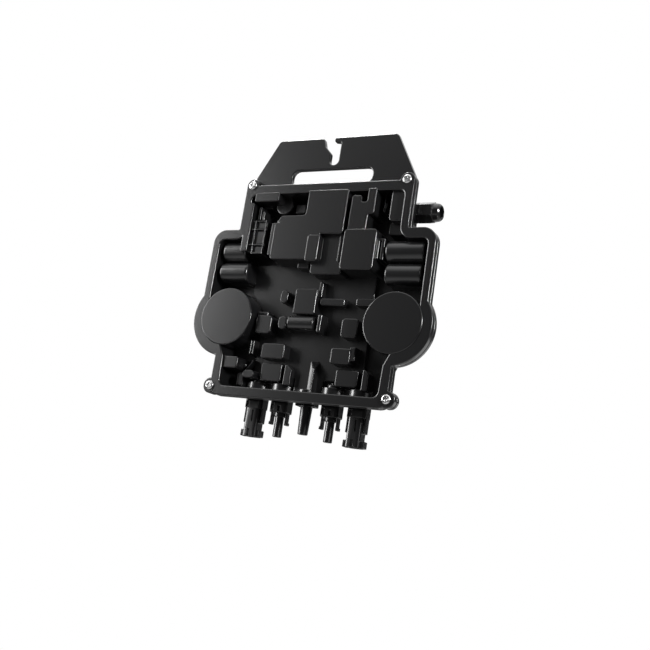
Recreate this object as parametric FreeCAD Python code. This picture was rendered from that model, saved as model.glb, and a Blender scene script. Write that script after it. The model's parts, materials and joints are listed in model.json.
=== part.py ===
"""Solar microinverter: moulded relief housing, rail bracket, board with its parts, plugs, gland.

Millimetres. X runs across, Z up towards the rail bracket, Y from the relief side to the back.
The origin is the centre of the bolt seat, on the bracket's rear face. A "depth" is measured
backwards from the front face of the housing's rim.
"""
import FreeCAD, Part
import math
import os

V = FreeCAD.Vector

# Rim, bracket and wall thicknesses
RIM_THICK = 7.0
PLATE_THICK = 6.0
RAIL_DEPTH = RIM_THICK + PLATE_THICK
WALL = 2.2
DOME_WALL = 2.0
CLEAR = 0.5
FIT = 0.3

# Depths of the layers behind the rim's front face
FACE_HIGH = -0.8
DISC_FACE = -0.8
PLATEAU_FACE = 22.0
FLOOR = 27.0
FLOOR_BACK = FLOOR + WALL
PLUG_DEPTH = 31.0
BOARD_GAP = 2.2
BOARD_FRONT = PLUG_DEPTH + BOARD_GAP
BOARD_THICK = 1.6
BOARD_BACK = BOARD_FRONT + BOARD_THICK
BOARD_LOW = -229.0
POTTING_LIP = 2.0
WALL_END = BOARD_BACK + POTTING_LIP
SEAL_THICK = 0.6
COVER_FRONT = WALL_END + SEAL_THICK
COVER_THICK = 2.4
COVER_BACK = COVER_FRONT + COVER_THICK

# Drafts: millimetres inwards per millimetre of depth
DRAFT = 0.055
DRAFT_REAR = 0.415
DRAFT_DOME = 0.03
DRAFT_DISC_REAR = 0.18

# Housing outline
RIM_TOP = -27.7
RIM_BOTTOM = -251.1
RIM_UPPER_X = 94.8
RIM_EAR_X = 124.4
RIM_EAR_TOP = -76.5
RIM_LOWER_X = 97.1
LOBE_X = 91.9
LOBE_Z = -171.5
LOBE_R = 39.6
DISC_X = 92.0
DISC_Z = -170.2
DISC_R = 29.9
POCKET_TOP = -37.8
POCKET_UPPER_X = 86.3
POCKET_EAR_X = 116.6
POCKET_EAR_TOP = -87.0
POCKET_BOTTOM = -241.3

# Corner screws
SCREW_TOP = (87.3, RIM_TOP)
SCREW_LOW = (96.7, -242.2)
BOSS_TOP_R = 7.5
BOSS_LOW_R = 8.0
SCREW_R = 2.0
HEAD_R = 4.6
HEAD_HIGH = 2.4
NUT_R = 5.0
NUT_HIGH = 3.2

# The rail pad: the bracket's upper part stands this much further back than its lower ring
PAD_STEP = 0.6
PAD_LOW = -21.0
RING_BACK = RAIL_DEPTH - PAD_STEP

# Rail bracket
WING_TOP = 25.1
WING_TOP_X = 67.5
WING_FOOT = (93.4, -24.0)
WINDOW_X = 46.0
WINDOW_TOP = -9.4
WINDOW_BOTTOM = -26.5
BOLT_R = 5.2

# Plugs along the bottom edge
SOCKET_X = 57.2
PLUG_X = 28.3
SEAT_Z = -243.2
SEAT_INNER_Z = -239.3
SEAT_X = 68.0
NECK_R = 4.5
BORE_R = 2.0
GASKET = 1.0
GROOVE_R = 3.7
CLIP_THICK = 1.0
SOCKET_TIP = -286.3
SOCKET_HOLLOW_TOP = -262.0
PLUG_TIP = -284.0
ANTENNA_TIP = -279.0

# Cable gland on the right wall
GLAND_DEPTH = 26.0
GLAND_Z = -52.5
GLAND_ROOM = 15.5
GLAND_SEAT_X = 88.0
GLAND_INNER_X = 83.8
GLAND_FLATS = 19.0
GLAND_THREAD_R = 7.6
CABLE_R = 4.5
GLAND_SHOULDER_X = 111.5

# Sides of round parts drawn many-sided, and the turn of each short edge along a rounded corner
SIDES = 16
SIDES_FEW = 10
SIDES_GLAND = 20
SMALL_CORNER = 4.5
STEP_SMALL = 45.0
STEP_LARGE = 22.5


def y_at(depth):
    """Model Y of a depth behind the rim's front face."""
    return depth - RAIL_DEPTH


def unit(x, z):
    size = math.hypot(x, z)
    return x / size, z / size


def both_sides(half):
    """A closed outline from its right half, mirrored to the left."""
    return list(half) + [(-x, z, r) for x, z, r in reversed(half)]


def rect(x0, x1, z0, z1, r=0.0):
    return [(x0, z0, r), (x1, z0, r), (x1, z1, r), (x0, z1, r)]


def sharp(points):
    return [(x, z, 0.0) for x, z, r in points]


def grown(points, off):
    """The outline moved outwards by off, its rounded corners kept concentric."""
    n = len(points)
    area = 0.0
    for i in range(n):
        x0, z0, _ = points[i]
        x1, z1, _ = points[(i + 1) % n]
        area += x0 * z1 - x1 * z0
    sign = 1.0 if area > 0 else -1.0
    out = []
    for i in range(n):
        x0, z0, _ = points[i - 1]
        x1, z1, r = points[i]
        x2, z2, _ = points[(i + 1) % n]
        a = unit(x1 - x0, z1 - z0)
        b = unit(x2 - x1, z2 - z1)
        na = (a[1] * sign, -a[0] * sign)
        nb = (b[1] * sign, -b[0] * sign)
        k = 1.0 + na[0] * nb[0] + na[1] * nb[1]
        x = x1 + off * (na[0] + nb[0]) / k
        z = z1 + off * (na[1] + nb[1]) / k
        turn = (a[0] * b[1] - a[1] * b[0]) * sign
        rr = r
        if r > 0:
            rr = max(0.3, r + off if turn > 0 else r - off)
        out.append((x, z, rr))
    return out


def corner_points(before, corner, after, y, arcs):
    """The points of one corner: a single point, or a few along its rounding."""
    x1, z1, r = corner
    if r <= 0:
        return [V(x1, y, z1)]
    a = unit(before[0] - x1, before[1] - z1)
    b = unit(after[0] - x1, after[1] - z1)
    half = math.acos(max(-1.0, min(1.0, a[0] * b[0] + a[1] * b[1]))) / 2
    reach = r / math.tan(half)
    m = unit(a[0] + b[0], a[1] + b[1])
    cx = x1 + m[0] * r / math.sin(half)
    cz = z1 + m[1] * r / math.sin(half)
    start = math.atan2(z1 + a[1] * reach - cz, x1 + a[0] * reach - cx)
    end = math.atan2(z1 + b[1] * reach - cz, x1 + b[0] * reach - cx)
    turn = (end - start + math.pi) % (2 * math.pi) - math.pi
    step = STEP_LARGE if r > SMALL_CORNER else STEP_SMALL
    steps = 2 if arcs else max(1, round(abs(math.degrees(turn)) / step))
    angles = [start + turn * k / steps for k in range(steps + 1)]
    return [V(cx + r * math.cos(t), y, cz + r * math.sin(t)) for t in angles]


def wire(points, depth, arcs=False):
    """A closed wire at one depth; its rounded corners are arcs or a few short edges."""
    y = y_at(depth)
    n = len(points)
    corners = []
    for i in range(n):
        corners.append(corner_points(points[i - 1], points[i], points[(i + 1) % n], y, arcs))
    edges = []
    for i in range(n):
        corner = corners[i]
        edges.append(Part.makeLine(corners[i - 1][-1], corner[0]))
        if arcs and len(corner) > 1:
            edges.append(Part.Arc(*corner).toShape())
            continue
        for first, second in zip(corner, corner[1:]):
            edges.append(Part.makeLine(first, second))
    return Part.Wire(edges)


def prism(points, d0, d1, arcs=False):
    return Part.Face(wire(points, d0, arcs)).extrude(V(0, d1 - d0, 0))


def frustum(points, d0, off0, d1, off1):
    """A drafted solid between two depths."""
    first = wire(grown(points, off0), d0)
    second = wire(grown(points, off1), d1)
    return Part.makeLoft([first, second], True, True)


def box(x0, x1, d0, d1, z0, z1):
    return Part.makeBox(x1 - x0, d1 - d0, z1 - z0, V(x0, y_at(d0), z0))


def bar(base, axis, length, r0, r1, sides):
    """A straight or tapered round bar; with sides above zero it is many-sided."""
    if sides == 0:
        if r0 == r1:
            return Part.makeCylinder(r0, length, base, axis)
        return Part.makeCone(r0, r1, length, base, axis)
    across = V(1, 0, 0) if axis.z else V(0, 0, 1)
    other = axis.cross(across)
    ends = []
    for reach, r in ((0.0, r0), (length, r1)):
        corners = []
        for i in range(sides):
            t = 2 * math.pi * (i + 0.5) / sides
            corners.append(base + axis * reach + across * (r * math.cos(t)) + other * (r * math.sin(t)))
        ends.append(Part.makePolygon(corners + corners[:1]))
    if r0 == r1:
        return Part.Face(ends[0]).extrude(axis * length)
    return Part.makeLoft(ends, True, True)


def rod(x, z, r, d0, d1, sides=0):
    """A round bar that runs from front to back."""
    return bar(V(x, y_at(d0), z), V(0, 1, 0), d1 - d0, r, r, sides)


def taper(x, z, d0, r0, d1, r1, sides=0):
    return bar(V(x, y_at(d0), z), V(0, 1, 0), d1 - d0, r0, r1, sides)


def rod_x(x0, x1, depth, z, r, sides=0):
    return bar(V(x0, y_at(depth), z), V(1, 0, 0), x1 - x0, r, r, sides)


def rod_z(z0, z1, x, depth, r, sides=SIDES):
    return bar(V(x, y_at(depth), z0), V(0, 0, 1), z1 - z0, r, r, sides)


def taper_x(x0, r0, x1, r1, depth, z, sides=0):
    return bar(V(x0, y_at(depth), z), V(1, 0, 0), x1 - x0, r0, r1, sides)


def taper_z(z0, r0, z1, r1, x, depth, sides=SIDES):
    return bar(V(x, y_at(depth), z0), V(0, 0, 1), z1 - z0, r0, r1, sides)


def hexagon_x(x0, x1, depth, z, flats):
    """A hexagonal bar along X with a flat towards the front."""
    r = flats / math.sqrt(3.0)
    corners = []
    for i in range(7):
        a = math.radians(60 * i + 90)
        corners.append(V(x0, y_at(depth) + r * math.cos(a), z + r * math.sin(a)))
    return Part.Face(Part.makePolygon(corners)).extrude(V(x1 - x0, 0, 0))


def fuse(shapes):
    shapes = list(shapes)
    if len(shapes) == 1:
        return shapes[0]
    return shapes[0].multiFuse(shapes[1:]).removeSplitter()


def ring(x, z, r_out, r_in, d0, d1, sides=SIDES):
    return rod(x, z, r_out, d0, d1, sides).cut(rod(x, z, r_in, d0 - 1, d1 + 1, sides))


def inset(depth):
    """How far the drafted wall has moved in at a depth."""
    if depth <= FLOOR_BACK:
        return depth * DRAFT
    return FLOOR_BACK * DRAFT + (depth - FLOOR_BACK) * DRAFT_REAR


def disc_shrink(depth):
    return max(0.0, depth - FLOOR_BACK) * DRAFT_DISC_REAR


POCKET = both_sides([
    (POCKET_UPPER_X, POCKET_TOP, 6.0),
    (POCKET_UPPER_X, POCKET_EAR_TOP, 11.0),
    (POCKET_EAR_X, POCKET_EAR_TOP, 6.0),
    (POCKET_EAR_X, -168.0, 0.0),
    (93.2, -200.2, 0.0),
    (88.0, -211.5, 0.0),
    (87.0, POCKET_BOTTOM, 6.0),
])

RIM = both_sides([
    (RIM_UPPER_X, RIM_TOP, 0.0),
    (RIM_UPPER_X, RIM_EAR_TOP, 1.5),
    (RIM_EAR_X, RIM_EAR_TOP, 14.0),
    (RIM_EAR_X, -160.0, 0.0),
    (RIM_LOWER_X, -205.0, 0.0),
    (RIM_LOWER_X, RIM_BOTTOM, 9.0),
])

SCREWS = [
    (SCREW_TOP[0], SCREW_TOP[1], BOSS_TOP_R),
    (-SCREW_TOP[0], SCREW_TOP[1], BOSS_TOP_R),
    (SCREW_LOW[0], SCREW_LOW[1], BOSS_LOW_R),
    (-SCREW_LOW[0], SCREW_LOW[1], BOSS_LOW_R),
]


def flange(d0, d1):
    """The rim's full outline with lobes and screw bosses."""
    parts = [prism(RIM, d0, d1, True)]
    for side in (-1, 1):
        parts.append(rod(side * LOBE_X, LOBE_Z, LOBE_R, d0, d1))
    for x, z, r in SCREWS:
        parts.append(rod(x, z, r, d0, d1))
    return fuse(parts)


def body_outside(front):
    """The drafted outer envelope of the walls from a front depth to the walls' end."""
    parts = [
        frustum(POCKET, front, WALL - inset(front), FLOOR_BACK, WALL - inset(FLOOR_BACK)),
        frustum(POCKET, FLOOR_BACK, WALL - inset(FLOOR_BACK), WALL_END, WALL - inset(WALL_END)),
    ]
    return fuse(parts)


def body_inside(front, end):
    """The drafted inner envelope of the walls."""
    if front >= FLOOR_BACK:
        return frustum(POCKET, front, -inset(front), end, -inset(end))
    parts = [
        frustum(POCKET, front, -inset(front), FLOOR_BACK, -inset(FLOOR_BACK)),
        frustum(POCKET, FLOOR_BACK, -inset(FLOOR_BACK), end, -inset(end)),
    ]
    return fuse(parts)


def discs(r_off, front):
    """The two round housings for the transformers, with r_off taken off the radius."""
    parts = []
    for side in (-1, 1):
        x = side * DISC_X
        r = DISC_R - r_off
        parts.append(rod(x, DISC_Z, r, front, FLOOR_BACK))
        end = WALL_END + (0.5 if r_off else 0.0)
        parts.append(taper(x, DISC_Z, FLOOR_BACK, r, end, r - disc_shrink(end)))
    return parts


# Relief blocks seen from the front: outline, depth of the face, hollow from behind or solid
UPPER_BLOCK = [
    (-18.3, -35.5, 0.0), (26.3, -35.5, 0.0), (26.3, -82.3, 3.0), (1.9, -82.3, 0.0),
    (1.9, -109.0, 3.0), (-52.5, -109.0, 3.0), (-52.5, -70.2, 2.0), (-51.2, -70.2, 0.0),
    (-45.6, -62.2, 2.0), (-18.3, -62.2, 3.0),
]
MIDDLE_BLOCK = [
    (2.5, -80.0, 0.0), (28.0, -80.0, 0.0), (28.0, -122.5, 3.0), (-7.0, -122.5, 3.0),
    (-7.0, -106.0, 0.0), (2.5, -106.0, 0.0),
]
STEPPED_BLOCK = [
    (31.2, -42.5, 2.0), (41.6, -42.5, 2.0), (41.6, -49.6, 2.0), (48.0, -49.6, 2.0),
    (48.0, -35.5, 0.0), (57.0, -35.5, 0.0), (57.0, -62.3, 2.0), (50.8, -62.3, 2.0),
    (50.8, -80.0, 0.0), (31.2, -80.0, 0.0),
]
PLATEAU = [
    (-79.0, -108.0, 0.0), (-79.0, -112.0, 0.0), (-78.1, -140.9, 4.0), (-62.0, -160.0, 4.0),
    (-62.0, -226.0, 0.0), (-13.0, -226.0, 0.0), (-13.0, -246.0, 0.0), (18.0, -246.0, 0.0),
    (18.0, -226.0, 0.0), (60.0, -226.0, 0.0), (60.0, -108.0, 0.0),
]
RELAY_BLOCK = rect(28.7, 63.8, -119.5, -78.0, 3.0)
SUPPLY_BLOCK = rect(-20.7, 3.5, -162.7, -136.3, 2.0)
SENSOR_BLOCK = rect(-59.0, -41.5, -184.7, -166.2, 3.0)
SIGNAL_BLOCK = rect(36.0, 53.5, -184.6, -165.7, 3.0)
LEFT_FILTER_BLOCK = rect(-49.9, -23.9, -209.1, -193.7, 2.0)
RIGHT_FILTER_BLOCK = rect(29.1, 49.7, -210.7, -195.3, 2.0)
LEFT_CHOKE_BLOCK = rect(-49.5, -26.2, -231.2, -212.8, 2.0)
RIGHT_CHOKE_BLOCK = rect(34.8, 58.4, -231.4, -215.0, 2.0)
FUSE_BLOCK = rect(-81.7, -53.2, -46.1, -36.2, 1.5)
CORNER_BLOCK = [(-92.0, -222.5, 0.0), (-70.9, -222.5, 2.5), (-70.9, -210.5, 2.5), (-92.0, -210.5, 0.0)]
GLAND_BLOCK = [(71.4, -68.4, 3.0), (92.0, -68.4, 0.0), (92.0, -32.0, 0.0), (71.4, -32.0, 0.0)]
GLAND_STEP = [(69.0, -79.6, 2.0), (92.0, -79.6, 0.0), (92.0, -66.5, 0.0), (69.0, -66.5, 2.0)]
CELLS = [(-74.7, -66.4), (-91.2, -76.9), (-102.0, -93.5)]

HOLLOW = [
    (UPPER_BLOCK, FACE_HIGH),
    (MIDDLE_BLOCK, 5.5),
    (RELAY_BLOCK, -1.5),
    (STEPPED_BLOCK, FACE_HIGH),
    (PLATEAU, PLATEAU_FACE),
    (SUPPLY_BLOCK, 9.0),
    (SENSOR_BLOCK, 6.0),
    (SIGNAL_BLOCK, 8.0),
    (LEFT_FILTER_BLOCK, 10.0),
    (RIGHT_FILTER_BLOCK, 8.0),
    (LEFT_CHOKE_BLOCK, 15.0),
    (RIGHT_CHOKE_BLOCK, 14.0),
    (FUSE_BLOCK, FACE_HIGH),
    (CORNER_BLOCK, 2.5),
    (GLAND_BLOCK, 4.0),
    (GLAND_STEP, 14.0),
    (rect(-77.0, -64.2, CELLS[0][0], CELLS[0][1]), 4.0),
    (rect(-77.0, -64.2, CELLS[1][0], CELLS[1][1]), 4.0),
    (rect(-77.0, -64.2, CELLS[2][0], CELLS[2][1]), 4.0),
]

SOLID = [
    (rect(-11.4, 2.2, -111.0, -83.6, 2.0), -1.6),
    (rect(-57.4, -50.0, -103.7, -69.1), 1.5),
    (rect(-24.5, -11.4, -114.9, -106.0), 10.0),
    (rect(22.4, 25.3, -110.2, -80.0), 3.0),
    (rect(62.9, 65.5, -107.2, -86.2), 4.0),
    (rect(67.6, 71.2, -107.6, -86.2), 4.0),
    (rect(62.9, 71.2, -89.0, -86.2), 4.0),
    (rect(-82.8, -79.7, -99.9, -65.1), 4.0),
    (rect(-80.5, -64.2, -76.9, -74.7), 5.5),
    (rect(-80.5, -64.2, -93.5, -91.2), 5.5),
    (rect(-78.6, -75.6, -63.9, -49.4), 6.0),
    (rect(-73.9, -71.1, -64.0, -54.0), 6.0),
    (rect(-79.0, -67.4, -48.9, -44.7), 14.0),
    (rect(-40.9, -29.0, -53.8, -43.8, 1.5), 16.0),
    (rect(60.8, 62.4, -48.0, -33.0), 12.0),
    (rect(61.6, 64.8, -52.4, -46.7, 1.2), 11.0),
    (rect(60.0, 63.0, -56.4, -50.6, 1.2), 12.0),
    (rect(-39.3, -30.7, -151.3, -137.5, 4.0), 12.0),
    (rect(-33.6, -24.0, -179.5, -166.1, 4.0), 6.0),
    (rect(9.2, 13.3, -180.6, -163.0), 8.0),
    (rect(2.4, 6.3, -143.5, -127.8), 14.0),
    (rect(6.4, 33.2, -152.2, -144.8, 1.5), 13.0),
    (rect(45.5, 70.0, -151.7, -144.0, 1.5), 13.0),
    (rect(-60.7, -49.2, -167.0, -161.5), 10.0),
    (rect(-65.8, -64.0, -205.7, -190.7), 12.0),
    (rect(-62.6, -61.0, -205.7, -190.7), 12.0),
    (rect(48.5, 54.4, -207.0, -193.6), 9.0),
    (rect(-67.0, -53.8, -230.3, -222.1, 3.5), 9.0),
    (rect(-75.2, -68.0, -237.7, -224.4), 14.0),
    (rect(-73.7, -67.0, -221.2, -215.7), 14.0),
    ([(-58.5, -211.0, 0.0), (-65.3, -220.5, 0.0), (-67.7, -220.5, 0.0), (-60.9, -211.0, 0.0)], 14.0),
    ([(-22.8, -234.0, 0.0), (-14.9, -234.0, 0.0), (-14.9, -218.2, 0.0), (-20.2, -213.4, 0.0),
      (-22.8, -213.4, 0.0)], 15.0),
    ([(62.2, -234.0, 0.0), (68.7, -234.0, 0.0), (68.7, -217.4, 0.0), (64.4, -213.4, 0.0),
      (62.2, -213.4, 0.0)], 15.0),
]

# Horizontal capacitor shells: x from, x to, axis z, radius, depth of the crest
LYING = [
    (72.5, 112.6, -98.0, 11.3, 2.0),
    (75.0, 112.6, -120.6, 10.9, 2.0),
    (-112.6, -85.0, -98.0, 11.3, 2.0),
    (-112.6, -78.5, -120.6, 10.9, 2.0),
    (-24.3, 5.9, -171.8, 7.3, 5.0),
]
SHELL_CHAMFER = 1.6
ROUND = [(-52.0, -46.0, 10.0, 12.0)]

# Half-round steps on the lower wall at each plug: radius and upper end, then those at the antenna
PLUG_STEPS = [(13.5, -232.0), (9.2, -228.8), (6.0, -226.4)]
ANTENNA_STEPS = [(12.0, -235.4)]
RIDGE_BASE = rect(1.4, 12.2, -246.0, -206.5)
RIDGE_CREST = rect(9.8, 11.4, -246.0, -216.0)
RIDGE_DEPTH = 13.0


def lying(x0, x1, z, r, crest):
    """A half-round shell along X with chamfered ends."""
    axis = crest + r
    c = SHELL_CHAMFER
    outline = [
        (x0 + c, z - r), (x1 - c, z - r), (x1, z - r + c), (x1, z + r - c),
        (x1 - c, z + r), (x0 + c, z + r), (x0, z + r - c), (x0, z - r + c),
    ]
    return fuse([
        rod_x(x0 + c, x1 - c, axis, z, r),
        taper_x(x0, r - c, x0 + c, r, axis, z),
        taper_x(x1 - c, r, x1, r - c, axis, z),
        prism([(x, height, 0.0) for x, height in outline], axis, FLOOR + 0.6),
    ])


def lying_hollow(x0, x1, z, r, crest):
    """The hollow of a half-round shell."""
    axis = crest + r
    inner = r - DOME_WALL
    half = inner * math.cos(math.pi / SIDES)
    left = x0 + DOME_WALL
    right = x1 - DOME_WALL
    return fuse([
        rod_x(left, right, axis, z, inner, SIDES),
        box(left, right, axis, FLOOR_BACK + 0.1, z - half, z + half),
    ])


def wall_steps():
    """The stepped half-round seats that the plugs and the antenna stand in."""
    parts = []
    for x in (-SOCKET_X, -PLUG_X, 0.0, PLUG_X, SOCKET_X):
        for r, top in (PLUG_STEPS if x else ANTENNA_STEPS):
            room = box(x - r, x + r, 0, FLOOR + 0.6, -242.0, top)
            parts.append(rod_z(-242.0, top, x, PLUG_DEPTH, r, 24).common(room))
    return parts


def neck_hollows():
    parts = []
    for x in (-SOCKET_X, -PLUG_X, 0.0, PLUG_X, SOCKET_X):
        room = box(x - 8, x + 8, 0, FLOOR_BACK + 0.1, -242.0, -234.4)
        parts.append(rod_z(-242.0, -234.4, x, PLUG_DEPTH, 7.6).common(room))
    return parts


def make_housing():
    outside = body_outside(0.0)
    body = fuse([flange(0.0, RIM_THICK), outside])
    body = body.cut(frustum(POCKET, -1.0, -inset(-1.0), FLOOR, -inset(FLOOR)))
    blocks = []
    for points, face in HOLLOW + SOLID:
        low = (FLOOR + 0.6 - face) * DRAFT_DOME
        blocks.append(frustum(points, face, 0.0, FLOOR + 0.6, low))
    for x0, x1, z, r, crest in LYING:
        blocks.append(lying(x0, x1, z, r, crest))
    for x, z, r, face in ROUND:
        blocks.append(rod(x, z, r, face, FLOOR + 0.6))
    blocks.append(box(-90.0, -82.3, 0.0, FLOOR + 0.6, -100.0, -47.0))
    blocks += wall_steps()
    ridge = [wire(RIDGE_CREST, RIDGE_DEPTH), wire(RIDGE_BASE, PLATEAU_FACE + 0.8)]
    blocks.append(Part.makeLoft(ridge, True, True))
    envelope = frustum(POCKET, -3.0, WALL - inset(-3.0), FLOOR_BACK, WALL - inset(FLOOR_BACK))
    blocks = fuse(blocks).common(envelope)
    body = fuse([body, blocks] + discs(0.0, DISC_FACE))
    seat = box(-SEAT_X, SEAT_X, 19.0, WALL_END, SEAT_Z, SEAT_INNER_Z)
    low = GLAND_DEPTH - 12.5
    pad = box(GLAND_INNER_X, GLAND_SEAT_X, low, GLAND_DEPTH + 10.0, GLAND_Z - 11.8, GLAND_Z + 11.8)
    body = fuse([body, seat, pad])
    hollows = [body_inside(FLOOR_BACK, WALL_END + 0.5)] + discs(WALL, DISC_FACE + WALL)
    cavities = []
    for points, face in HOLLOW:
        low = (FLOOR_BACK + 0.1 - face - DOME_WALL) * DRAFT_DOME
        inner = sharp(grown(points, -DOME_WALL))
        cavities.append(frustum(inner, face + DOME_WALL, 0.0, FLOOR_BACK + 0.1, low))
    for x0, x1, z, r, crest in LYING:
        cavities.append(lying_hollow(x0, x1, z, r, crest))
    for x, z, r, face in ROUND:
        cavities.append(rod(x, z, r - DOME_WALL, face + DOME_WALL, FLOOR_BACK + 0.1, SIDES))
    cavities += neck_hollows()
    cavities = fuse(cavities).common(body_inside(0.0, WALL_END))
    hollows.append(cavities)
    inner = fuse(hollows)
    keep = fuse([
        box(-SEAT_X, SEAT_X, 10.0, WALL_END + 1, SEAT_Z - 1, SEAT_INNER_Z),
        box(GLAND_INNER_X, GLAND_SEAT_X + 2, low, WALL_END + 1, GLAND_Z - 11.8, GLAND_Z + 11.8),
    ])
    body = body.cut(inner.cut(keep))
    chambers = fuse([
        box(-SEAT_X + WALL, SEAT_X - WALL, FLOOR_BACK - 0.4, WALL_END + 0.5, SEAT_INNER_Z, BOARD_LOW),
        box(76.0, GLAND_INNER_X, GLAND_DEPTH - 9.0, GLAND_DEPTH + 9.2, GLAND_Z - 11.0, GLAND_Z + 10.4),
    ])
    body = body.cut(chambers)
    holes = []
    for x, z, r in SCREWS:
        holes.append(rod(x, z, SCREW_R + FIT, -1, RIM_THICK + 1))
    for x in (-SOCKET_X, -PLUG_X, 0.0, PLUG_X, SOCKET_X):
        holes.append(rod_z(SEAT_Z - 1, SEAT_INNER_Z + 1, x, PLUG_DEPTH, NECK_R + FIT))
    r = GLAND_THREAD_R + FIT
    holes.append(rod_x(GLAND_INNER_X - 1, GLAND_SEAT_X + 1, GLAND_DEPTH, GLAND_Z, r, SIDES_GLAND))
    return body.cut(fuse(holes))


def make_bracket():
    wing = prism([
        (-WING_FOOT[0], -30.0, 0.0), (-WING_FOOT[0], WING_FOOT[1], 0.0),
        (-WING_TOP_X, WING_TOP, 3.0), (WING_TOP_X, WING_TOP, 3.0),
        (WING_FOOT[0], WING_FOOT[1], 0.0), (WING_FOOT[0], -30.0, 0.0),
    ], RIM_THICK, RAIL_DEPTH)
    plate = fuse([wing, flange(RIM_THICK, RAIL_DEPTH)])
    gap = WALL - inset(RIM_THICK) + CLEAR
    cuts = [prism(grown(POCKET, gap), RIM_THICK - 1, RAIL_DEPTH + 1)]
    for side in (-1, 1):
        cuts.append(rod(side * DISC_X, DISC_Z, DISC_R + CLEAR, RIM_THICK - 1, RAIL_DEPTH + 1))
    window = rect(-WINDOW_X, WINDOW_X, WINDOW_BOTTOM, WINDOW_TOP, 7.5)
    cuts.append(prism(window, RIM_THICK - 1, RAIL_DEPTH + 1))
    notch = [
        (-BOLT_R, 0.0, 0.0), (-BOLT_R, 8.0, 2.0), (-12.5, 15.8, 3.0), (-14.5, 23.0, 0.0),
        (-17.0, WING_TOP + 1, 0.0), (-1.0, WING_TOP + 1, 0.0), (-2.8, 23.0, 1.0),
        (-2.6, 20.6, 0.8), (BOLT_R, 19.5, 1.5), (BOLT_R, 0.0, 0.0),
    ]
    cuts.append(prism(notch, RIM_THICK - 1, RAIL_DEPTH + 1))
    cuts.append(rod(0.0, 0.0, BOLT_R, RIM_THICK - 1, RAIL_DEPTH + 1))
    for x, z, r in SCREWS:
        cuts.append(rod(x, z, SCREW_R + FIT, RIM_THICK - 1, RAIL_DEPTH + 1))
    cuts.append(box(-140.0, 140.0, RING_BACK, RAIL_DEPTH + 1, RIM_BOTTOM - 10.0, PAD_LOW))
    return plate.cut(fuse(cuts))


def make_screws():
    parts = []
    for x, z, r in SCREWS:
        head = taper(x, z, -HEAD_HIGH, HEAD_R - 1.2, -HEAD_HIGH + 1.0, HEAD_R, SIDES)
        head = fuse([head, rod(x, z, HEAD_R, -HEAD_HIGH + 1.0, 0.0, SIDES)])
        shank = rod(x, z, SCREW_R, 0.0, RING_BACK + NUT_HIGH + 0.6, SIDES_FEW)
        long = box(x - 2.6, x + 2.6, -HEAD_HIGH - 1, -HEAD_HIGH + 1.3, z - 0.6, z + 0.6)
        tall = box(x - 0.6, x + 0.6, -HEAD_HIGH - 1, -HEAD_HIGH + 1.3, z - 2.6, z + 2.6)
        parts.append(fuse([head, shank]).cut(fuse([long, tall])))
    return Part.makeCompound(parts)


def make_nuts():
    parts = []
    for x, z, r in SCREWS:
        nut = rod(x, z, NUT_R, RING_BACK, RING_BACK + NUT_HIGH, 6)
        parts.append(nut.cut(rod(x, z, SCREW_R + FIT, RING_BACK - 1, RING_BACK + NUT_HIGH + 1, SIDES_FEW)))
    return Part.makeCompound(parts)


def make_cover():
    cover = frustum(POCKET, COVER_FRONT, WALL - inset(COVER_FRONT), COVER_BACK, WALL - inset(COVER_FRONT) - 1.0)
    parts = [cover]
    for side in (-1, 1):
        r = DISC_R - disc_shrink(COVER_FRONT)
        parts.append(taper(side * DISC_X, DISC_Z, COVER_FRONT, r, COVER_BACK, r - 1.0))
    parts.append(box(-SEAT_X, SEAT_X, COVER_FRONT, COVER_BACK, SEAT_Z, SEAT_INNER_Z + 3.0))
    return fuse(parts)


def make_seal():
    outer = [prism(grown(POCKET, WALL - inset(COVER_FRONT) - 0.2), WALL_END, COVER_FRONT)]
    inner = [prism(grown(POCKET, -inset(WALL_END) + 0.2), WALL_END - 1, COVER_FRONT + 1)]
    for side in (-1, 1):
        r = DISC_R - disc_shrink(COVER_FRONT) - 0.2
        outer.append(rod(side * DISC_X, DISC_Z, r, WALL_END, COVER_FRONT, 2 * SIDES))
        r = DISC_R - WALL - disc_shrink(WALL_END) + 0.2
        inner.append(rod(side * DISC_X, DISC_Z, r, WALL_END - 1, COVER_FRONT + 1, 2 * SIDES))
    edge = SEAT_X - 0.2
    outer.append(box(-edge, edge, WALL_END, COVER_FRONT, SEAT_Z + 0.2, SEAT_INNER_Z + 3.0))
    edge = SEAT_X - WALL + 0.2
    inner.append(box(-edge, edge, WALL_END - 1, COVER_FRONT + 1, SEAT_INNER_Z - 0.2, BOARD_LOW))
    return fuse(outer).cut(fuse(inner))


def sheet(d0, d1, gap, low):
    """A flat layer that fills the walls with a gap, cut straight above the plugs."""
    parts = [prism(grown(POCKET, -inset(d1) - gap), d0, d1)]
    for side in (-1, 1):
        r = DISC_R - WALL - disc_shrink(d1) - gap
        parts.append(rod(side * DISC_X, DISC_Z, r, d0, d1, 2 * SIDES))
    cuts = [
        box(-130, 130, d0 - 1, d1 + 1, RIM_BOTTOM, low),
        box(74.0, 130, d0 - 1, d1 + 1, GLAND_Z - GLAND_ROOM, GLAND_Z + GLAND_ROOM),
    ]
    return fuse(parts).cut(fuse(cuts))


def make_board():
    return sheet(BOARD_FRONT, BOARD_BACK, 0.7, BOARD_LOW)


def make_potting():
    return sheet(BOARD_BACK, COVER_FRONT, 0.5, BOARD_LOW)


# Transformers in the two round housings
CORE_R = 26.0
CORE_POST_R = 9.0
CORE_WALL = 4.0
CORE_WEB = 4.5
CORE_FRONT = 2.6
CORE_MID = (CORE_FRONT + BOARD_FRONT) / 2


def core_half(x, front, back, open_front):
    body = rod(x, DISC_Z, CORE_R, front, back, SIDES)
    d0, d1 = (front - 1, back - CORE_WEB) if open_front else (front + CORE_WEB, back + 1)
    return body.cut(ring(x, DISC_Z, CORE_R - CORE_WALL, CORE_POST_R, d0, d1))


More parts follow.
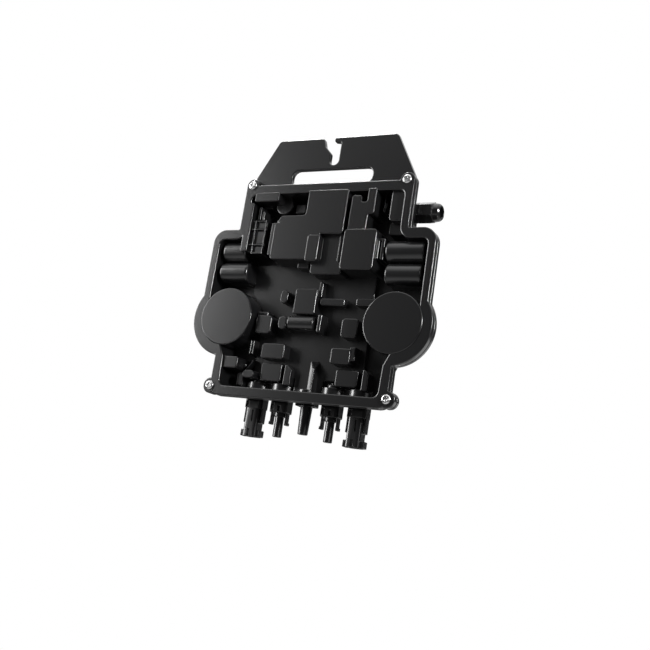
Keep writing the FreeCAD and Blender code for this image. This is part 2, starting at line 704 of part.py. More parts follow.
def make_bobbin(x):
    d0 = CORE_FRONT + CORE_WEB
    d1 = BOARD_FRONT - CORE_WEB
    r0 = CORE_POST_R + FIT
    r1 = CORE_R - CORE_WALL - FIT
    parts = [
        ring(x, DISC_Z, r1, r0, d0, d0 + 1.2),
        ring(x, DISC_Z, r0 + 1.2, r0, d0, d1),
        ring(x, DISC_Z, r1, r0, d1 - 1.2, d1),
    ]
    return fuse(parts)


def make_winding(x):
    d0 = CORE_FRONT + CORE_WEB + 1.2
    d1 = BOARD_FRONT - CORE_WEB - 1.2
    return ring(x, DISC_Z, CORE_R - CORE_WALL - 1.2, CORE_POST_R + FIT + 1.5, d0, d1)


def lying_can(x0, x1, depth, z, r, lead_x, sign):
    """A capacitor lying along X with two leads bent down to the board."""
    parts = [rod_x(x0, x1, depth, z, r, SIDES)]
    for dz in (-2.5, 2.5):
        inner = x0 + 0.5 if sign < 0 else x1 - 0.5
        a, b = sorted((inner, lead_x))
        parts.append(box(a, b, depth - 0.4, depth + 0.4, z + dz - 0.4, z + dz + 0.4))
        a, b = sorted((lead_x - 0.4, lead_x + 0.4))
        parts.append(box(a, b, depth - 0.4, BOARD_FRONT, z + dz - 0.4, z + dz + 0.4))
    return fuse(parts)


def block(points, face, gap=0.6):
    """A boxy component that fills its hollow with a gap and stands on the board."""
    inner = sharp(grown(points, -DOME_WALL - gap))
    return prism(inner, face + DOME_WALL + gap, BOARD_FRONT)


def bbox_block(x0, x1, z0, z1, front):
    return box(x0, x1, front, BOARD_FRONT, z0, z1)


def plug_neck(x, groove=GROOVE_R):
    """The part of a plug inside the wall: neck with a groove for its clip."""
    g0 = SEAT_INNER_Z
    g1 = SEAT_INNER_Z + CLIP_THICK
    neck = rod_z(SEAT_Z - GASKET, SEAT_INNER_Z + 3.6, x, PLUG_DEPTH, NECK_R)
    cut = rod_z(g0, g1, x, PLUG_DEPTH, NECK_R + 1).cut(rod_z(g0 - 1, g1 + 1, x, PLUG_DEPTH, groove))
    return neck.cut(cut)


def plug_box(x, half_x, half_y, z0, z1, r):
    """An upright box around a plug's axis with rounded corners."""
    points = []
    for cx, cy in ((-1, -1), (1, -1), (1, 1), (-1, 1)):
        points.append((x + cx * half_x, y_at(PLUG_DEPTH) + cy * half_y, r))
    flat = wire([(px, py, pr) for px, py, pr in points], RAIL_DEPTH)
    turned = flat.rotate(V(0, 0, 0), V(1, 0, 0), -90)
    turned = flat if turned is None else turned
    low = turned.BoundBox.ZMin
    turned.translate(V(0, 0, z0 - low))
    return Part.Face(turned).extrude(V(0, 0, z1 - z0))


def make_socket(x):
    """Outer plug: a boxed shell with two latch arms and a flared mouth."""
    top = SEAT_Z - GASKET
    side = 1 if x > 0 else -1
    core = plug_box(x, 7.6, 7.6, SOCKET_TIP, top, 3.0)
    collar = plug_box(x, 9.9, 8.0, -258.0, top, 3.0)
    parts = [core, collar, plug_neck(x)]
    for s in (-1, 1):
        x0, x1 = sorted((x + s * 8.7, x + s * 10.2))
        parts.append(box(x0, x1, PLUG_DEPTH - 4, PLUG_DEPTH + 4, -272.5, -257.0))
        x0, x1 = sorted((x + s * 7.0, x + s * 10.2))
        parts.append(box(x0, x1, PLUG_DEPTH - 4, PLUG_DEPTH + 4, -272.5, -270.8))
        x0, x1 = sorted((x + s * 7.0, x + s * 11.0))
        parts.append(box(x0, x1, PLUG_DEPTH - 4.5, PLUG_DEPTH + 4.5, SOCKET_TIP, -279.5))
    shell = fuse(parts)
    cuts = [
        rod_z(SOCKET_TIP - 1, SEAT_INNER_Z + 5, x, PLUG_DEPTH, BORE_R, SIDES_FEW),
        rod_z(SOCKET_TIP - 1, SOCKET_HOLLOW_TOP, x, PLUG_DEPTH, 5.4),
        box(x + 0.6, x + 2.4, PLUG_DEPTH - 9, PLUG_DEPTH - 6.6, -271.0, -260.0),
        box(x - 7.8, x - 4.4, PLUG_DEPTH - 9, PLUG_DEPTH - 6.4, -257.0, -251.5),
        box(x - 1.5, x + 1.5, PLUG_DEPTH - 9, PLUG_DEPTH - 6.6, SOCKET_TIP - 1, -279.0),
    ]
    return shell.cut(fuse(cuts))


def make_plug(x):
    """Inner plug: a collar with two spring arms beside a tube."""
    top = SEAT_Z - GASKET
    collar = plug_box(x, 9.6, 8.0, -260.0, top, 3.0)
    waist = rod_z(-264.0, -259.0, x, PLUG_DEPTH, 6.0)
    tube = rod_z(PLUG_TIP, -263.0, x, PLUG_DEPTH, 4.4)
    parts = [collar, waist, tube, plug_neck(x)]
    for s in (-1, 1):
        x0, x1 = sorted((x + s * 7.4, x + s * 9.4))
        parts.append(box(x0, x1, PLUG_DEPTH - 3, PLUG_DEPTH + 3, -272.0, -259.0))
        x0, x1 = sorted((x + s * 7.4, x + s * 10.4))
        parts.append(box(x0, x1, PLUG_DEPTH - 3, PLUG_DEPTH + 3, -272.0, -269.0))
    shell = fuse(parts)
    cuts = [
        rod_z(PLUG_TIP - 1, SEAT_INNER_Z + 5, x, PLUG_DEPTH, BORE_R, SIDES_FEW),
        box(x - 7.6, x - 4.4, PLUG_DEPTH - 9, PLUG_DEPTH - 6.4, -257.5, -252.0),
        box(x + 0.4, x + 3.0, PLUG_DEPTH - 9, PLUG_DEPTH - 6.4, -258.5, -253.5),
    ]
    return shell.cut(fuse(cuts))


def make_contact(x, tip):
    pin = rod_z(tip, -231.0, x, PLUG_DEPTH, BORE_R - FIT, SIDES_FEW)
    tab = box(x - 1.0, x + 1.0, PLUG_DEPTH, BOARD_FRONT, -231.5, -222.0)
    return fuse([pin, tab])


def make_clips():
    parts = []
    z0 = SEAT_INNER_Z
    z1 = z0 + CLIP_THICK
    for x in (-SOCKET_X, -PLUG_X, 0.0, PLUG_X, SOCKET_X):
        slot = GROOVE_R + 0.1
        plate = box(x - 5.8, x + 5.8, PLUG_DEPTH - 4.6, PLUG_DEPTH + 5.2, z0, z1)
        cut = fuse([
            rod_z(z0 - 1, z1 + 1, x, PLUG_DEPTH, slot + 0.2),
            box(x - slot - 0.2, x + slot + 0.2, PLUG_DEPTH, PLUG_DEPTH + 7, z0 - 1, z1 + 1),
        ])
        parts.append(plate.cut(cut))
    return Part.makeCompound(parts)


def make_gaskets(positions, r_out):
    parts = []
    for x in positions:
        outer = rod_z(SEAT_Z - GASKET, SEAT_Z, x, PLUG_DEPTH, r_out)
        parts.append(outer.cut(rod_z(SEAT_Z - 2, SEAT_Z + 1, x, PLUG_DEPTH, NECK_R + FIT)))
    return Part.makeCompound(parts)


def make_antenna_cap():
    top = SEAT_Z - GASKET
    flange_plate = box(-10.4, 10.4, PLUG_DEPTH - 5.5, PLUG_DEPTH + 5.5, -251.5, top)
    stub = taper_z(ANTENNA_TIP, 5.0, top - 1, 6.2, 0.0, PLUG_DEPTH)
    shell = fuse([flange_plate, stub, plug_neck(0.0)])
    return shell.cut(rod_z(ANTENNA_TIP + 2.5, SEAT_INNER_Z + 5, 0.0, PLUG_DEPTH, BORE_R, SIDES_FEW))


def make_gland_body():
    d = GLAND_DEPTH
    z = GLAND_Z
    x0 = GLAND_SEAT_X + 1.0
    parts = [
        hexagon_x(x0, x0 + 4.4, d, z, GLAND_FLATS),
        rod_x(GLAND_INNER_X - 6.5, x0 + 1, d, z, GLAND_THREAD_R, SIDES_GLAND),
        rod_x(x0 + 4, x0 + 12.0, d, z, 7.8, SIDES_GLAND),
    ]
    bore = fuse([
        rod_x(GLAND_INNER_X - 10, x0 + 30, d, z, CABLE_R),
        rod_x(x0 + 3.0, x0 + 30, d, z, 6.4, SIDES_GLAND),
    ])
    return fuse(parts).cut(bore)


def make_gland_nut():
    d = GLAND_DEPTH
    z = GLAND_Z
    x0 = GLAND_SEAT_X + 1.0 + 4.4 + 0.6
    sides = SIDES_GLAND
    chamfer = taper_x(x0 - 20, 21.0, x0 + 19, 9.0, d, z, sides)
    shell = fuse([
        hexagon_x(x0, x0 + 15.5, d, z, GLAND_FLATS).common(chamfer),
        taper_x(x0 + 15.5, 9.4, x0 + 20.5, 8.6, d, z, sides),
        taper_x(x0 + 20.5, 8.6, x0 + 22.5, 6.8, d, z, sides),
    ])
    bore = fuse([
        rod_x(x0 - 1, GLAND_SHOULDER_X, d, z, 7.8 + FIT, sides),
        rod_x(x0, x0 + 30, d, z, CABLE_R + 0.8, sides),
    ])
    return shell.cut(bore)


def make_parts():
    g_d = GLAND_DEPTH
    g_z = GLAND_Z
    items = {
        "housing": make_housing(),
        "mounting_bracket": make_bracket(),
        "bracket_screws": make_screws(),
        "bracket_nuts": make_nuts(),
        "rear_cover": make_cover(),
        "rear_seal": make_seal(),
        "circuit_board": make_board(),
        "potting_layer": make_potting(),
    }
    for side, x in (("left", -DISC_X), ("right", DISC_X)):
        items["transformer_core_front_" + side] = core_half(x, CORE_FRONT, CORE_MID, False)
        items["transformer_core_rear_" + side] = core_half(x, CORE_MID, BOARD_FRONT, True)
        items["transformer_bobbin_" + side] = make_bobbin(x)
        items["transformer_winding_" + side] = make_winding(x)
    items["bus_capacitor_upper_right"] = lying_can(77.5, 107.5, 12.9, -98.5, 8.0, 76.0, -1)
    items["bus_capacitor_lower_right"] = lying_can(80.0, 109.5, 12.9, -120.6, 8.0, 78.5, -1)
    items["bus_capacitor_upper_left"] = lying_can(-110.0, -90.0, 12.9, -98.5, 8.0, -88.5, 1)
    items["bus_capacitor_lower_left"] = lying_can(-110.0, -83.5, 12.9, -120.6, 8.0, -82.0, 1)
    items["supply_capacitor"] = lying_can(-18.5, 2.0, 12.3, -171.8, 4.6, -20.5, -1)
    items["start_capacitor"] = rod(-52.0, -47.5, 5.5, 15.0, BOARD_FRONT, SIDES)
    x, z = 4.0, -60.4
    core = ring(x, z, 16.2, 10.0, 17.2, BOARD_FRONT - 2.0)
    shell = ring(x, z, 18.2, 8.0, 15.2, BOARD_FRONT)
    items["filter_choke_core"] = core
    items["filter_choke_winding"] = shell.cut(core)
    items["film_capacitor_large"] = bbox_block(-49.5, -0.9, -106.2, -79.6, 2.0)
    items["film_capacitor_small"] = bbox_block(5.2, 25.2, -119.6, -88.0, 8.2)
    items["grid_relay"] = bbox_block(31.5, 61.0, -116.7, -82.5, 1.2)
    x, z = 41.0, -62.5
    d0 = 12.5
    d1 = BOARD_FRONT - 3.2
    items["boost_inductor_core"] = fuse([
        rod(x, z, 7.2, d0 - 2.5, d0, SIDES),
        rod(x, z, 3.5, d0 - 2.5, BOARD_FRONT, SIDES),
        rod(x, z, 7.2, d1, BOARD_FRONT, SIDES),
    ])
    items["boost_inductor_coil"] = ring(x, z, 6.8, 3.9, d0, d1)
    items["auxiliary_relay"] = block(SUPPLY_BLOCK, 9.0)
    items["current_sensor"] = block(SENSOR_BLOCK, 6.0)
    items["signal_transformer"] = block(SIGNAL_BLOCK, 8.0)
    items["input_capacitor_left"] = block(LEFT_FILTER_BLOCK, 10.0)
    items["input_capacitor_right"] = block(RIGHT_FILTER_BLOCK, 8.0)
    items["input_choke_left"] = bbox_block(-46.5, -31.4, -228.0, -215.6, 18.0)
    items["input_choke_right"] = bbox_block(37.8, 55.4, -228.0, -217.8, 17.0)
    relays = []
    for z0, z1 in CELLS:
        relays.append(bbox_block(-74.4, -66.8, z0 + 2.5, z1 - 2.5, 7.0))
    items["signal_relays"] = Part.makeCompound(relays)
    items["line_varistor"] = fuse([
        box(-77.0, -60.0, 3.0, 26.0, -43.5, -39.8),
        box(-74.4, -73.6, 25.5, BOARD_FRONT, -42.8, -42.0),
        box(-63.4, -62.6, 25.5, BOARD_FRONT, -42.8, -42.0),
    ])
    items["surge_arrester"] = bbox_block(-82.0, -74.5, -219.2, -213.8, 5.5)
    items["radio_module"] = bbox_block(-9.0, 9.0, -226.0, -200.0, BOARD_FRONT - 3.0)
    items["control_processor"] = bbox_block(14.0, 28.0, -190.0, -176.0, BOARD_FRONT - 2.2)
    switches = []
    for i in range(4):
        for side in (-1, 1):
            cx = side * (34.0 + 11.5 * (i % 2)) - 6.0
            cz = -132.0 - 18.0 * (i // 2)
            switches.append(bbox_block(cx - 4.5, cx + 4.5, cz - 6.5, cz + 6.5, BOARD_FRONT - 2.8))
    items["power_switches"] = Part.makeCompound(switches)
    for side, s in (("left", -1), ("right", 1)):
        items["socket_connector_" + side] = make_socket(s * SOCKET_X)
        items["plug_connector_" + side] = make_plug(s * PLUG_X)
        items["socket_contact_" + side] = make_contact(s * SOCKET_X, SOCKET_HOLLOW_TOP - 4.0)
        items["plug_contact_" + side] = make_contact(s * PLUG_X, PLUG_TIP + 2)
    items["connector_seals"] = make_gaskets((-SOCKET_X, -PLUG_X, PLUG_X, SOCKET_X), 7.6)
    items["retaining_clips"] = make_clips()
    items["antenna_cap"] = make_antenna_cap()
    rod_part = rod_z(ANTENNA_TIP + 4, -231.0, 0.0, PLUG_DEPTH, BORE_R - FIT, SIDES_FEW)
    tab = box(-1.0, 1.0, PLUG_DEPTH, BOARD_FRONT, -231.5, -227.0)
    items["antenna_rod"] = fuse([rod_part, tab])
    items["antenna_seal"] = make_gaskets((0.0,), 7.0)
    sides = SIDES_GLAND
    thread = rod_x(GLAND_INNER_X - 5, GLAND_SEAT_X + 2, g_d, g_z, GLAND_THREAD_R + FIT, sides)
    items["gland_washer"] = rod_x(GLAND_SEAT_X, GLAND_SEAT_X + 1.0, g_d, g_z, 9.4, sides).cut(thread)
    items["gland_body"] = make_gland_body()
    items["gland_lock_nut"] = hexagon_x(GLAND_INNER_X - 4.0, GLAND_INNER_X, g_d, g_z, 17.0).cut(thread)
    x0 = GLAND_SEAT_X + 4.0
    items["gland_seal_insert"] = rod_x(x0, GLAND_SHOULDER_X, g_d, g_z, 6.4 - FIT, sides).cut(
        rod_x(x0 - 1, GLAND_SHOULDER_X + 1, g_d, g_z, CABLE_R))
    items["gland_dome_nut"] = make_gland_nut()
    return items


os.makedirs("parts", exist_ok=True)
for name, shape in make_parts().items():
    shape.exportStep("parts/" + name + ".step")
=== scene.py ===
"""Looks, light and camera for the solar microinverter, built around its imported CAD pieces."""

import json
import math
from collections import namedtuple

import bmesh
import bpy
from mathutils import Matrix, Vector


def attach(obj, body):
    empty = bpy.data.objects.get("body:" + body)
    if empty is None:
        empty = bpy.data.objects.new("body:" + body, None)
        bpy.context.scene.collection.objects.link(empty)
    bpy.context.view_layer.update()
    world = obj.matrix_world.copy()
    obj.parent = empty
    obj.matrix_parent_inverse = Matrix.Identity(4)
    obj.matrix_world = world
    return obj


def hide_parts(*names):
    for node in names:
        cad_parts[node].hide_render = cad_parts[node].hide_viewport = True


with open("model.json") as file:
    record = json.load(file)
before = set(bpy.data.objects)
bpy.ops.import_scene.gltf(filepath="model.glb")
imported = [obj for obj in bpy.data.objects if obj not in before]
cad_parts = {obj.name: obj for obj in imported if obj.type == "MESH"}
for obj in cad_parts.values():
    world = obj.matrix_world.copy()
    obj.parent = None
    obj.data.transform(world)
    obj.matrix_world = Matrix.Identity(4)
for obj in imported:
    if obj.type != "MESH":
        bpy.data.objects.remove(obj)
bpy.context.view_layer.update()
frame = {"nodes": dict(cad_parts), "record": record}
nodes = frame["nodes"]
slots = {s["node"]: s["material_slot"] for s in frame["record"]["subparts"]}

# How the outstanding edges of a shown piece are rounded, in metres and degrees
Rounding = namedtuple("Rounding", "width segments least_turn", defaults=(2, 28.0))
ROUNDING = {
    "housing": Rounding(0.0010, segments=3),
    "mounting_bracket": Rounding(0.0009, segments=3),
    "rear_cover": Rounding(0.0006),
    "bracket_screws": Rounding(0.0003),
    "socket_connector_left": Rounding(0.0005),
    "socket_connector_right": Rounding(0.0005),
    "plug_connector_left": Rounding(0.0005),
    "plug_connector_right": Rounding(0.0005),
    "antenna_cap": Rounding(0.0005),
    "gland_body": Rounding(0.0005),
    "gland_dome_nut": Rounding(0.0005, segments=3, least_turn=24.0),
}

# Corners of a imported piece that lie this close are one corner, in metres
JOIN_DISTANCE = 2e-6
# Triangles that meet at less than this turn, in degrees, are one flat face
FLAT_TURN = 0.6
# Flat faces above this size, in square metres, are shaded flat between the rounded edges
PLAIN_AREA = 8e-6
# Two strips of a round wall meet at a turn between these, in degrees, and are of like size
STRIP_TURNS = (1.0, 30.0)
STRIP_AREA_RATIO = 3.0
# An edge that turns more than this, in degrees, is shaded as a sharp one
SHARP_TURN = 35.0
# Above 50, larger faces count for more in the normals that they share with a rounded edge
LARGE_FACE_WEIGHT = 80


def signed_turn(edge):
    """The angle between an edge's two faces in degrees, positive where the edge stands out."""
    try:
        return math.degrees(edge.calc_face_angle_signed())
    except ValueError:
        return 0.0


def is_curved(face):
    """True for a strip of a round wall: a neighbour of like size meets it at a slight turn."""
    area = face.calc_area()
    least, most = STRIP_TURNS
    for edge in face.edges:
        if len(edge.link_faces) != 2 or not least < abs(signed_turn(edge)) < most:
            continue
        for other in edge.link_faces:
            if other is not face and area / STRIP_AREA_RATIO < other.calc_area() < area * STRIP_AREA_RATIO:
                return True
    return False


def flat_normals(piece):
    """Gives the piece a mesh with normals that keep its large faces flat between rounded edges."""
    modifier = piece.modifiers.new("flat_normals", "WEIGHTED_NORMAL")
    modifier.mode = "FACE_AREA"
    modifier.weight = LARGE_FACE_WEIGHT
    modifier.keep_sharp = True
    ready = piece.evaluated_get(bpy.context.evaluated_depsgraph_get())
    mesh = bpy.data.meshes.new_from_object(ready)
    piece.modifiers.clear()
    piece.data = mesh


def fixed_piece(name, mesh):
    """An object at the origin that carries the mesh and belongs to the part's one body."""
    piece = bpy.data.objects.new(name, mesh)
    bpy.context.scene.collection.objects.link(piece)
    flat_normals(piece)
    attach(piece, "root")
    return piece


def rounded(name, rounding):
    """A copy of a CAD node with its outstanding edges rounded; it stands for the node."""
    mesh = nodes[name].data.copy()
    mesh.name = name + "_look"
    bm = bmesh.new()
    bm.from_mesh(mesh)
    bmesh.ops.remove_doubles(bm, verts=bm.verts, dist=JOIN_DISTANCE)
    bmesh.ops.dissolve_limit(bm, angle_limit=math.radians(FLAT_TURN), verts=bm.verts, edges=bm.edges)
    bm.normal_update()
    for face in bm.faces:
        face.smooth = face.calc_area() < PLAIN_AREA or is_curved(face)
    edges = [e for e in bm.edges if len(e.link_faces) == 2 and signed_turn(e) > rounding.least_turn]
    made = bmesh.ops.bevel(
        bm, geom=edges, offset=rounding.width, offset_type="OFFSET", segments=rounding.segments,
        profile=0.5, affect="EDGES", clamp_overlap=False, material=-1, loop_slide=True,
    )
    for face in made["faces"]:
        face.smooth = True
    for edge in bm.edges:
        plain = any(not face.smooth for face in edge.link_faces)
        edge.smooth = not plain and abs(signed_turn(edge)) < SHARP_TURN
    for face in bm.faces:
        face.smooth = True
    bm.to_mesh(mesh)
    bm.free()
    piece = fixed_piece(name + "_look", mesh)
    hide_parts(name)
    return piece


# Grain of moulded plastic: speckles per metre, their finer layers, and the height they stand out
GRAIN_SCALE = 1600.0
GRAIN_DETAIL = 3.0
GRAIN_HEIGHT = 0.00005

# Roughness of the clear gloss over the black plastics and the painted bracket
GLOSS_ROUGHNESS = 0.2


def moulded_grain():
    """A group that turns a strength into the normals of a finely grained moulded surface."""
    group = bpy.data.node_groups.new("moulded_grain", "ShaderNodeTree")
    group.interface.new_socket(name="Strength", in_out="INPUT", socket_type="NodeSocketFloat")
    group.interface.new_socket(name="Normal", in_out="OUTPUT", socket_type="NodeSocketVector")
    given = group.nodes.new("NodeGroupInput")
    result = group.nodes.new("NodeGroupOutput")
    coordinates = group.nodes.new("ShaderNodeTexCoord")
    speckles = group.nodes.new("ShaderNodeTexNoise")
    speckles.inputs["Scale"].default_value = GRAIN_SCALE
    speckles.inputs["Detail"].default_value = GRAIN_DETAIL
    bump = group.nodes.new("ShaderNodeBump")
    bump.inputs["Distance"].default_value = GRAIN_HEIGHT
    group.links.new(coordinates.outputs["Object"], speckles.inputs["Vector"])
    group.links.new(speckles.outputs["Fac"], bump.inputs["Height"])
    group.links.new(given.outputs["Strength"], bump.inputs["Strength"])
    group.links.new(bump.outputs["Normal"], result.inputs["Normal"])
    return group


GRAIN = moulded_grain()


def material(name, color, roughness, metallic=0.0, coat=0.0, grain=0.0):
    """A plain surface, with a clear gloss where coat is set and a fine texture where grain is."""
    m = bpy.data.materials.new(name)
    m.use_nodes = True
    tree = m.node_tree
    shader = tree.nodes["Principled BSDF"]
    shader.inputs["Base Color"].default_value = (*color, 1.0)
    shader.inputs["Roughness"].default_value = roughness
    shader.inputs["Metallic"].default_value = metallic
    shader.inputs["Coat Weight"].default_value = coat
    shader.inputs["Coat Roughness"].default_value = GLOSS_ROUGHNESS
    if grain > 0:
        texture = tree.nodes.new("ShaderNodeGroup")
        texture.node_tree = GRAIN
        texture.inputs["Strength"].default_value = grain
        tree.links.new(texture.outputs["Normal"], shader.inputs["Normal"])
    return m


HOUSING_BLACK = (0.008, 0.008, 0.0085)
CONNECTOR_BLACK = (0.006, 0.006, 0.0065)

LOOKS = {
    "housing_plastic": material("housing_plastic", HOUSING_BLACK, 0.28, coat=0.9, grain=0.06),
    "bracket_metal": material("bracket_metal", HOUSING_BLACK, 0.28, coat=0.9, grain=0.05),
    "screw_steel": material("screw_steel", (0.82, 0.82, 0.82), 0.26, metallic=1.0),
    "seal_rubber": material("seal_rubber", (0.012, 0.012, 0.012), 0.7),
    "board_laminate": material("board_laminate", (0.02, 0.12, 0.04), 0.45),
    "potting_rubber": material("potting_rubber", (0.03, 0.03, 0.032), 0.5),
    "ferrite": material("ferrite", (0.05, 0.05, 0.052), 0.6),
    "copper": material("copper", (0.5, 0.2, 0.08), 0.35, metallic=0.8),
    "component_plastic": material("component_plastic", (0.03, 0.03, 0.035), 0.4),
    "capacitor_can": material("capacitor_can", (0.6, 0.6, 0.62), 0.35, metallic=0.9),
    "plug_plastic": material("plug_plastic", CONNECTOR_BLACK, 0.30, coat=1.0),
    "gland_plastic": material("gland_plastic", CONNECTOR_BLACK, 0.25, coat=1.0),
    "contact_brass": material("contact_brass", (0.7, 0.62, 0.45), 0.3, metallic=1.0),
}


def dress(piece, slot):
    """Gives a piece the look that its slot names, and no other."""
    piece.data.materials.clear()
    piece.data.materials.append(LOOKS[slot])


for name, rounding in ROUNDING.items():
    piece = rounded(name, rounding)
    dress(piece, slots[name])
for name, node in nodes.items():
    dress(node, slots[name])

# The ladder of thin ribs on the row of small relay blocks, in metres: the width of a rib, the
# outline of the ladder, and the two rungs that reach past it to both sides
RIB_WIDTH = 0.0012
LADDER_LEFT = -0.0774
LADDER_RIGHT = -0.0641
LADDER_TOP = -0.0662
LADDER_BOTTOM = -0.1022
LONG_RUNG_LEFT = -0.0822
LONG_RUNG_RIGHT = -0.0624
UPPER_RUNG_FOOT = -0.0764
LOWER_RUNG_FOOT = -0.0930

# How far the ribs reach from front to back: the uprights stand a little in front of the rungs
UPRIGHT_FRONT = -0.0112
RUNG_FRONT = -0.0110
RIB_REAR = -0.0088
RIB_ROUNDING = 0.0003


def rib(bm, left, right, bottom, top, front):
    """Adds one straight rib, a block from its front to the common rear."""
    middle = Vector(((left + right) / 2, (front + RIB_REAR) / 2, (bottom + top) / 2))
    size = Vector((right - left, RIB_REAR - front, top - bottom))
    place = Matrix.Translation(middle) @ Matrix.Diagonal((*size, 1.0))
    bmesh.ops.create_cube(bm, size=1.0, matrix=place)


def relay_row_frame():
    """The ladder of thin moulded ribs that stands out from the three small relay blocks."""
    bm = bmesh.new()
    for left in (LADDER_LEFT, LADDER_RIGHT - RIB_WIDTH):
        rib(bm, left, left + RIB_WIDTH, LADDER_BOTTOM, LADDER_TOP, UPRIGHT_FRONT)
    for foot in (LADDER_TOP - RIB_WIDTH, LADDER_BOTTOM):
        rib(bm, LADDER_LEFT, LADDER_RIGHT, foot, foot + RIB_WIDTH, RUNG_FRONT)
    for foot in (UPPER_RUNG_FOOT, LOWER_RUNG_FOOT):
        rib(bm, LONG_RUNG_LEFT, LONG_RUNG_RIGHT, foot, foot + RIB_WIDTH, RUNG_FRONT)
    bmesh.ops.bevel(
        bm, geom=bm.edges[:], offset=RIB_ROUNDING, offset_type="OFFSET", segments=2, profile=0.5,
        affect="EDGES", clamp_overlap=True, material=-1,
    )
    for face in bm.faces:
        face.smooth = True
    mesh = bpy.data.meshes.new("relay_row_frame")
    bm.to_mesh(mesh)
    bm.free()
    piece = fixed_piece("relay_row_frame", mesh)
    dress(piece, slots["housing"])


relay_row_frame()

# Camera, placed by a fit to the photograph: its place in metres, and its right and up directions
CAMERA_AT = Vector((0.4134087, -0.7396951, -0.3538927))
CAMERA_RIGHT = Vector((0.8857479, 0.4391389, 0.1503587))
CAMERA_UP = Vector((-0.0365266, -0.2569843, 0.9657250))
# The same fit gives the focal length in pixels of an image this wide
FOCAL_PIXELS = 880.066
IMAGE_WIDTH = 650.0
SENSOR_WIDTH = 36.0


def photo_camera():
    """The view of the photograph, from below and to the right of the hanging part."""
    lens = bpy.data.cameras.new("photo_camera")
    lens.sensor_width = SENSOR_WIDTH
    lens.lens = FOCAL_PIXELS / IMAGE_WIDTH * SENSOR_WIDTH
    camera = bpy.data.objects.new("photo_camera", lens)
    backwards = CAMERA_RIGHT.cross(CAMERA_UP)
    turn = Matrix((CAMERA_RIGHT, CAMERA_UP, backwards)).transposed().to_4x4()
    camera.matrix_world = Matrix.Translation(CAMERA_AT) @ turn
    bpy.context.scene.collection.objects.link(camera)
    bpy.context.scene.camera = camera


photo_camera()

# The point that every lamp faces, near the middle of the housing
LIT_POINT = Vector((0.0, 0.0, -0.12))


def lamp(name, toward, reach, wide, tall, power):
    """A soft light panel that stands off from the part in one direction and faces it."""
    light = bpy.data.lights.new(name, "AREA")
    light.shape = "RECTANGLE"
    light.size = wide
    light.size_y = tall
    light.energy = power
    panel = bpy.data.objects.new(name, light)
    offset = Vector(toward).normalized() * reach
    turn = offset.to_track_quat("Z", "Y").to_matrix().to_4x4()
    panel.matrix_world = Matrix.Translation(LIT_POINT + offset) @ turn
    bpy.context.scene.collection.objects.link(panel)


lamp("left_panel", (-0.82, -0.53, 0.18), reach=1.15, wide=0.40, tall=0.8, power=10.5)
lamp("far_left_panel", (-0.97, 0.00, 0.10), reach=1.15, wide=0.50, tall=0.8, power=2.5)
lamp("rear_panel", (0.25, 0.93, -0.28), reach=1.3, wide=1.6, tall=0.5, power=1.8)
lamp("top_panel", (-0.40, 0.12, 0.90), reach=1.1, wide=0.28, tall=0.22, power=13.0)
lamp("right_strip", (0.90, -0.36, 0.24), reach=1.2, wide=0.10, tall=0.26, power=13.5)

# The room that the glossy surfaces mirror, dark in the middle: how bright each side is at most,
# and how far a direction has to turn to it, as a cosine, before it brightens and until it is full
CEILING_TOWARD = Vector((-0.25, 0.10, 0.96)).normalized()
CEILING_STARTS = 0.30
CEILING_FULL = 0.85
CEILING_LIGHT = 1.0
GROUND_TOWARD = Vector((0.0, 0.0, -1.0))
GROUND_STARTS = 0.30
GROUND_FULL = 0.80
GROUND_LIGHT = 0.5
DIM_WALLS = 0.04

# What the world adds to the lamps on matt surfaces
SOFT_LIGHT = 0.15


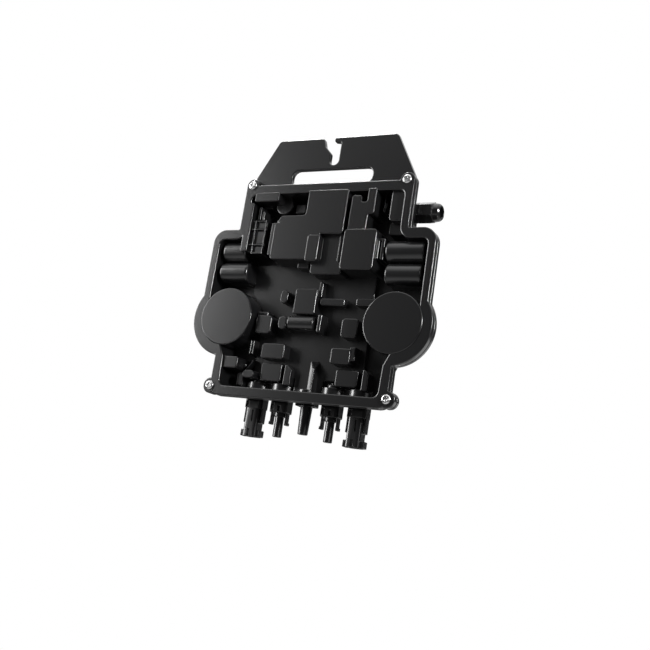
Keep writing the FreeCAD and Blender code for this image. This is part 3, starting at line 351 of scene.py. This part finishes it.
def side_light(tree, way, toward, starts, full, dim, bright):
    """The brightness of one side of the room, which grows smoothly as a ray turns to it."""
    facing = tree.nodes.new("ShaderNodeVectorMath")
    facing.operation = "DOT_PRODUCT"
    facing.inputs[1].default_value = toward
    tree.links.new(way.outputs["Generated"], facing.inputs[0])
    light = tree.nodes.new("ShaderNodeMapRange")
    light.interpolation_type = "SMOOTHSTEP"
    light.inputs["From Min"].default_value = starts
    light.inputs["From Max"].default_value = full
    light.inputs["To Min"].default_value = dim
    light.inputs["To Max"].default_value = bright
    tree.links.new(facing.outputs["Value"], light.inputs["Value"])
    return light.outputs["Result"]


def larger(tree, first, second):
    """The larger of two values."""
    choice = tree.nodes.new("ShaderNodeMath")
    choice.operation = "MAXIMUM"
    tree.links.new(first, choice.inputs[0])
    tree.links.new(second, choice.inputs[1])
    return choice.outputs["Value"]


def white_room():
    """A world that is white to the camera, dim to matt surfaces and a graded room to glossy ones."""
    world = bpy.data.worlds.new("white_room")
    bpy.context.scene.world = world
    world.use_nodes = True
    tree = world.node_tree
    tree.nodes.clear()
    path = tree.nodes.new("ShaderNodeLightPath")
    way = tree.nodes.new("ShaderNodeTexCoord")
    ceiling = side_light(tree, way, CEILING_TOWARD, CEILING_STARTS, CEILING_FULL, DIM_WALLS, CEILING_LIGHT)
    ground = side_light(tree, way, GROUND_TOWARD, GROUND_STARTS, GROUND_FULL, 0.0, GROUND_LIGHT)
    mirrored = larger(tree, ceiling, ground)
    bounced = larger(tree, path.outputs["Is Glossy Ray"], path.outputs["Is Transmission Ray"])
    reflected = tree.nodes.new("ShaderNodeMix")
    reflected.data_type = "FLOAT"
    reflected.inputs["A"].default_value = SOFT_LIGHT
    tree.links.new(bounced, reflected.inputs["Factor"])
    tree.links.new(mirrored, reflected.inputs["B"])
    shown = larger(tree, path.outputs["Is Camera Ray"], reflected.outputs["Result"])
    room = tree.nodes.new("ShaderNodeBackground")
    room.inputs["Color"].default_value = (1.0, 1.0, 1.0, 1.0)
    out = tree.nodes.new("ShaderNodeOutputWorld")
    tree.links.new(shown, room.inputs["Strength"])
    tree.links.new(room.outputs["Background"], out.inputs["Surface"])


white_room()

bpy.context.scene.view_settings.view_transform = "Standard"
